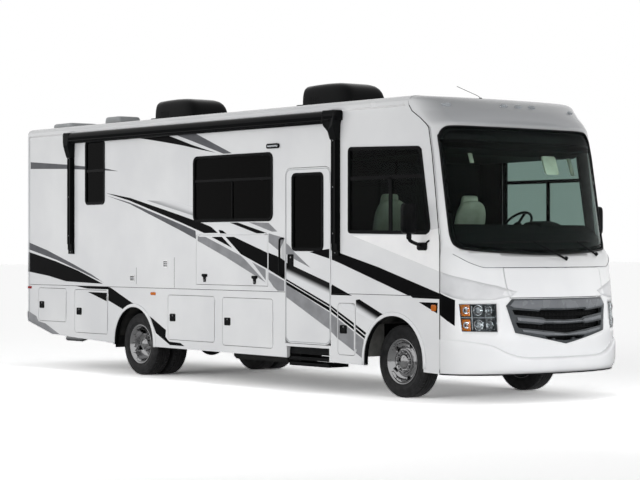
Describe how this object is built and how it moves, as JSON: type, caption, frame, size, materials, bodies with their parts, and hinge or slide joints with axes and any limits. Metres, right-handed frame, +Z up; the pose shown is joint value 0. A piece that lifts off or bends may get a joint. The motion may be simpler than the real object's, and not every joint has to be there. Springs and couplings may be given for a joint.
{
  "type": "motorhome",
  "caption": "Flat-nosed coach-built motorhome with hinged side lockers, entry door, awning, twin rear wheels and a front that steers.",
  "frame": {"origin": "on the ground below the middle of the overall box", "axes": "+X forward, +Y to the driver's left, +Z up"},
  "size_m": [9.868, 3.19, 3.835],
  "materials": {
    "body_white": "gloss",
    "chassis_black": "satin",
    "engine_metal": "cast",
    "steel": "brushed",
    "tyre": "matt",
    "chrome": "polished",
    "floor": "satin",
    "grille_grey": "satin",
    "lamp": "clear",
    "windshield": "tinted",
    "dark_glass": "tinted",
    "black_plastic": "satin",
    "vent_grey": "satin",
    "seat_leather": "soft",
    "bay_liner": "matt"
  },
  "bodies": {
    "coach": {"chassis_frame": "chassis_black", "hitch_receiver": "chassis_black", "engine": "engine_metal", "front_axle": "chassis_black", "rear_axle": "chassis_black", "underbody_tanks": "chassis_black", "exhaust": "steel", "floor": "floor", "right_wall": "body_white", "left_wall": "body_white", "right_skirt": "body_white", "left_skirt": "body_white", "rear_wall": "body_white", "rear_bumper": "black_plastic", "roof": "body_white", "front_cap": "body_white", "grille": "grille_grey", "front_bumper": "body_white", "headlights": "lamp", "windshield": "windshield", "right_windows": "dark_glass", "left_windows": "dark_glass", "storage_bays": "bay_liner", "entry_steps": "black_plastic", "awning": "black_plastic", "air_conditioners": "black_plastic", "roof_vents": "vent_grey", "mirrors": "black_plastic", "dashboard": "black_plastic", "steering_wheel": "black_plastic", "cab_seats": "seat_leather"},
    "right_knuckle": {"right_knuckle": "steel"},
    "left_knuckle": {"left_knuckle": "steel"},
    "front_right_wheel": {"front_right_tyre": "tyre", "front_right_rim": "chrome"},
    "front_left_wheel": {"front_left_tyre": "tyre", "front_left_rim": "chrome"},
    "rear_right_wheels": {"rear_right_tyres": "tyre", "rear_right_rims": "chrome"},
    "rear_left_wheels": {"rear_left_tyres": "tyre", "rear_left_rims": "chrome"},
    "hood": {"hood": "body_white"},
    "entry_door": {"entry_door": "body_white", "entry_door_window": "dark_glass"},
    "galley_door": {"galley_door": "body_white"},
    "right_locker_door_1": {"right_locker_door_1": "body_white"},
    "right_locker_door_2": {"right_locker_door_2": "body_white"},
    "right_locker_door_3": {"right_locker_door_3": "body_white"},
    "right_locker_door_4": {"right_locker_door_4": "body_white"},
    "right_locker_door_5": {"right_locker_door_5": "body_white"},
    "left_locker_door_1": {"left_locker_door_1": "body_white"},
    "left_locker_door_2": {"left_locker_door_2": "body_white"},
    "left_locker_door_3": {"left_locker_door_3": "body_white"},
    "left_locker_door_4": {"left_locker_door_4": "body_white"}
  },
  "joints": [
    {"name": "steer_right", "type": "hinge", "parent": "coach", "child": "right_knuckle", "pos_m": [3.284, -0.76, 0.419], "axis": [0, 0, 1], "range_deg": [-38, 38]},
    {"name": "steer_left", "type": "hinge", "parent": "coach", "child": "left_knuckle", "pos_m": [3.284, 0.76, 0.419], "axis": [0, 0, 1], "range_deg": [-38, 38]},
    {"name": "front_right_spin", "type": "hinge", "parent": "right_knuckle", "child": "front_right_wheel", "pos_m": [3.284, -0.947, 0.419], "axis": [0, 1, 0], "continuous": true},
    {"name": "front_left_spin", "type": "hinge", "parent": "left_knuckle", "child": "front_left_wheel", "pos_m": [3.284, 0.947, 0.419], "axis": [0, 1, 0], "continuous": true},
    {"name": "rear_right_spin", "type": "hinge", "parent": "coach", "child": "rear_right_wheels", "pos_m": [-1.999, -0.935, 0.419], "axis": [0, 1, 0], "continuous": true},
    {"name": "rear_left_spin", "type": "hinge", "parent": "coach", "child": "rear_left_wheels", "pos_m": [-1.999, 0.935, 0.419], "axis": [0, 1, 0], "continuous": true},
    {"name": "entry_door_swing", "type": "hinge", "parent": "coach", "child": "entry_door", "pos_m": [2.241, -1.282, 1.635], "axis": [0, 0, 1], "range_deg": [0, 100]},
    {"name": "right_locker_1_swing", "type": "hinge", "parent": "coach", "child": "right_locker_door_1", "pos_m": [-3.793, -1.282, 0.9065], "axis": [0, 0, 1], "range_deg": [0, 90]},
    {"name": "right_locker_2_swing", "type": "hinge", "parent": "coach", "child": "right_locker_door_2", "pos_m": [-2.69, -1.282, 0.8345], "axis": [0, 0, 1], "range_deg": [0, 90]},
    {"name": "right_locker_3_swing", "type": "hinge", "parent": "coach", "child": "right_locker_door_3", "pos_m": [-0.139, -1.282, 0.81], "axis": [0, 0, 1], "range_deg": [0, 90]},
    {"name": "right_locker_4_swing", "type": "hinge", "parent": "coach", "child": "right_locker_door_4", "pos_m": [1.101, -1.282, 0.7925], "axis": [0, 0, 1], "range_deg": [0, 90]},
    {"name": "right_locker_5_swing", "type": "hinge", "parent": "coach", "child": "right_locker_door_5", "pos_m": [2.701, -1.282, 0.7725], "axis": [0, 0, 1], "range_deg": [0, 90]},
    {"name": "left_locker_1_swing", "type": "hinge", "parent": "coach", "child": "left_locker_door_1", "pos_m": [-3.793, 1.282, 0.9065], "axis": [0, 0, -1], "range_deg": [0, 90]},
    {"name": "left_locker_2_swing", "type": "hinge", "parent": "coach", "child": "left_locker_door_2", "pos_m": [-2.69, 1.282, 0.8345], "axis": [0, 0, -1], "range_deg": [0, 90]},
    {"name": "left_locker_3_swing", "type": "hinge", "parent": "coach", "child": "left_locker_door_3", "pos_m": [-0.139, 1.282, 0.81], "axis": [0, 0, -1], "range_deg": [0, 90]},
    {"name": "left_locker_4_swing", "type": "hinge", "parent": "coach", "child": "left_locker_door_4", "pos_m": [1.101, 1.282, 0.7925], "axis": [0, 0, -1], "range_deg": [0, 90]},
    {"name": "galley_door_lift", "type": "hinge", "parent": "coach", "child": "galley_door", "pos_m": [0.225, -1.282, 1.894], "axis": [-1, 0, 0], "range_deg": [0, 90]},
    {"name": "hood_lift", "type": "hinge", "parent": "coach", "child": "hood", "pos_m": [4.751, 0, 1.509], "axis": [0, -1, 0], "range_deg": [0, 60]}
  ],
  "couplings": [
    {"joint": "steer_left", "follows": "steer_right", "ratio": 1}
  ]
}
